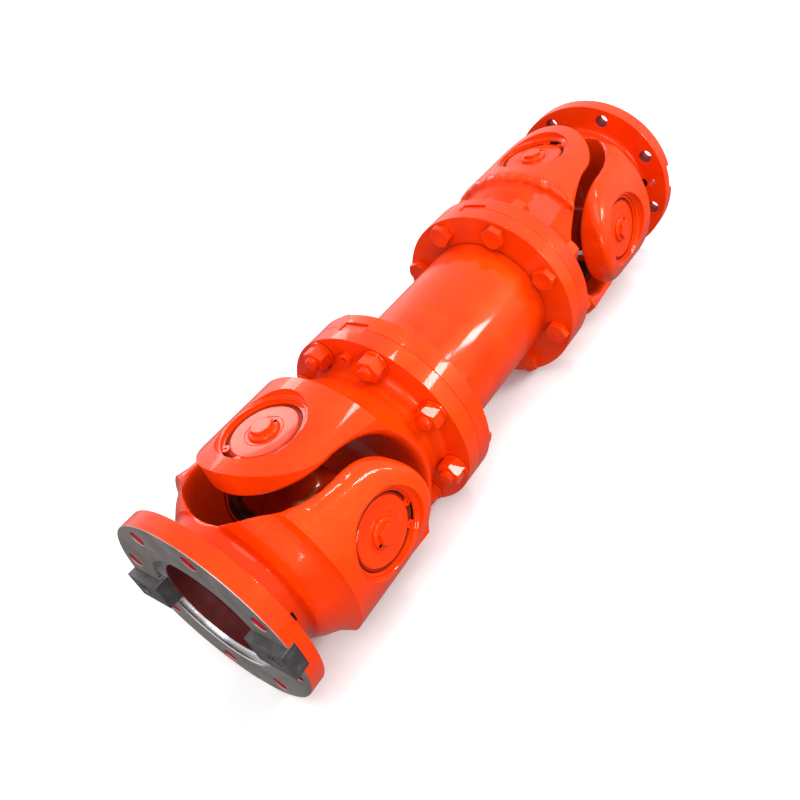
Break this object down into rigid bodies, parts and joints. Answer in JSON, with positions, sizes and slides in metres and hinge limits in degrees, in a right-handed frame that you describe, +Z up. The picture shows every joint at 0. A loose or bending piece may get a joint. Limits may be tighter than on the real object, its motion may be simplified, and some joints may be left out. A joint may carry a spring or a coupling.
{
  "type": "universal joint shaft",
  "caption": "Telescopic cardan shaft: a flanged splined tube with a cross-and-fork joint at each end and keyed round end flanges for bolting to machines.",
  "frame": {"origin": "on the shaft's axis, halfway along it from the proud faces of the two front keys to the rear flange's face, shaft straight and closed", "axes": "+X along the shaft from the front flange to the rear flange; +Z up, along the ear bores of the two inner forks; the end forks' bores lie along Y"},
  "size_m": [1.017, 0.2842, 0.2842],
  "materials": {
    "orange_paint": "glossy orange-red machine enamel over castings and turned faces",
    "machined_steel": "bare milled and ground steel",
    "dark_steel": "bare hardened steel, dark grey",
    "bearing_steel": "ground bearing steel with a film of grease"
  },
  "bodies": {
    "front_flange": {"front_flange_yoke": "orange_paint", "front_outer_bearing_cup_a": "orange_paint", "front_outer_bearing_cup_b": "orange_paint", "front_outer_circlip_a": "orange_paint", "front_outer_circlip_b": "orange_paint", "front_outer_grease_plug_a": "orange_paint", "front_outer_grease_plug_b": "orange_paint", "front_face_key_a": "dark_steel", "front_face_key_b": "dark_steel", "front_key_screw_a": "dark_steel", "front_key_screw_b": "dark_steel"},
    "front_spider": {"front_cross": "bearing_steel"},
    "sleeve_half": {"front_inner_yoke": "orange_paint", "front_inner_bearing_cup_a": "orange_paint", "front_inner_bearing_cup_b": "orange_paint", "front_inner_circlip_a": "orange_paint", "front_inner_circlip_b": "orange_paint", "front_inner_grease_plug_a": "orange_paint", "front_inner_grease_plug_b": "orange_paint", "spline_sleeve": "orange_paint", "front_coupling_key_top": "machined_steel", "front_coupling_key_bottom": "machined_steel", "front_flange_bolt_1": "orange_paint", "front_flange_bolt_2": "orange_paint", "front_flange_bolt_3": "orange_paint", "front_flange_bolt_4": "orange_paint", "front_flange_bolt_5": "orange_paint", "front_flange_bolt_6": "orange_paint", "front_flange_bolt_7": "orange_paint", "front_flange_bolt_8": "orange_paint"},
    "shaft_half": {"rear_inner_yoke": "orange_paint", "rear_inner_bearing_cup_a": "orange_paint", "rear_inner_bearing_cup_b": "orange_paint", "rear_inner_circlip_a": "orange_paint", "rear_inner_circlip_b": "orange_paint", "rear_inner_grease_plug_a": "orange_paint", "rear_inner_grease_plug_b": "orange_paint", "spline_shaft": "orange_paint", "rear_coupling_key_top": "machined_steel", "rear_coupling_key_bottom": "machined_steel", "rear_flange_bolt_1": "orange_paint", "rear_flange_bolt_2": "orange_paint", "rear_flange_bolt_3": "orange_paint", "rear_flange_bolt_4": "orange_paint", "rear_flange_bolt_5": "orange_paint", "rear_flange_bolt_6": "orange_paint", "rear_flange_bolt_7": "orange_paint", "rear_flange_bolt_8": "orange_paint"},
    "rear_spider": {"rear_cross": "bearing_steel"},
    "rear_flange": {"rear_flange_yoke": "orange_paint", "rear_outer_bearing_cup_a": "orange_paint", "rear_outer_bearing_cup_b": "orange_paint", "rear_outer_circlip_a": "orange_paint", "rear_outer_circlip_b": "orange_paint", "rear_outer_grease_plug_a": "orange_paint", "rear_outer_grease_plug_b": "orange_paint"}
  },
  "joints": [
    {"name": "front_fork_pivot", "type": "hinge", "parent": "front_flange", "child": "front_spider", "pos_m": [-0.3235, 0, 0], "axis": [0, 1, 0], "range_deg": [-12, 12]},
    {"name": "front_cross_pivot", "type": "hinge", "parent": "front_spider", "child": "sleeve_half", "pos_m": [-0.3235, 0, 0], "axis": [0, 0, 1], "range_deg": [-12, 12]},
    {"name": "length_slide", "type": "slide", "parent": "sleeve_half", "child": "shaft_half", "axis": [1, 0, 0], "range_m": [0, 0.11]},
    {"name": "rear_cross_pivot", "type": "hinge", "parent": "shaft_half", "child": "rear_spider", "pos_m": [0.3345, 0, 0], "axis": [0, 0, 1], "range_deg": [-12, 12]},
    {"name": "rear_fork_pivot", "type": "hinge", "parent": "rear_spider", "child": "rear_flange", "pos_m": [0.3345, 0, 0], "axis": [0, 1, 0], "range_deg": [-12, 12]}
  ]
}
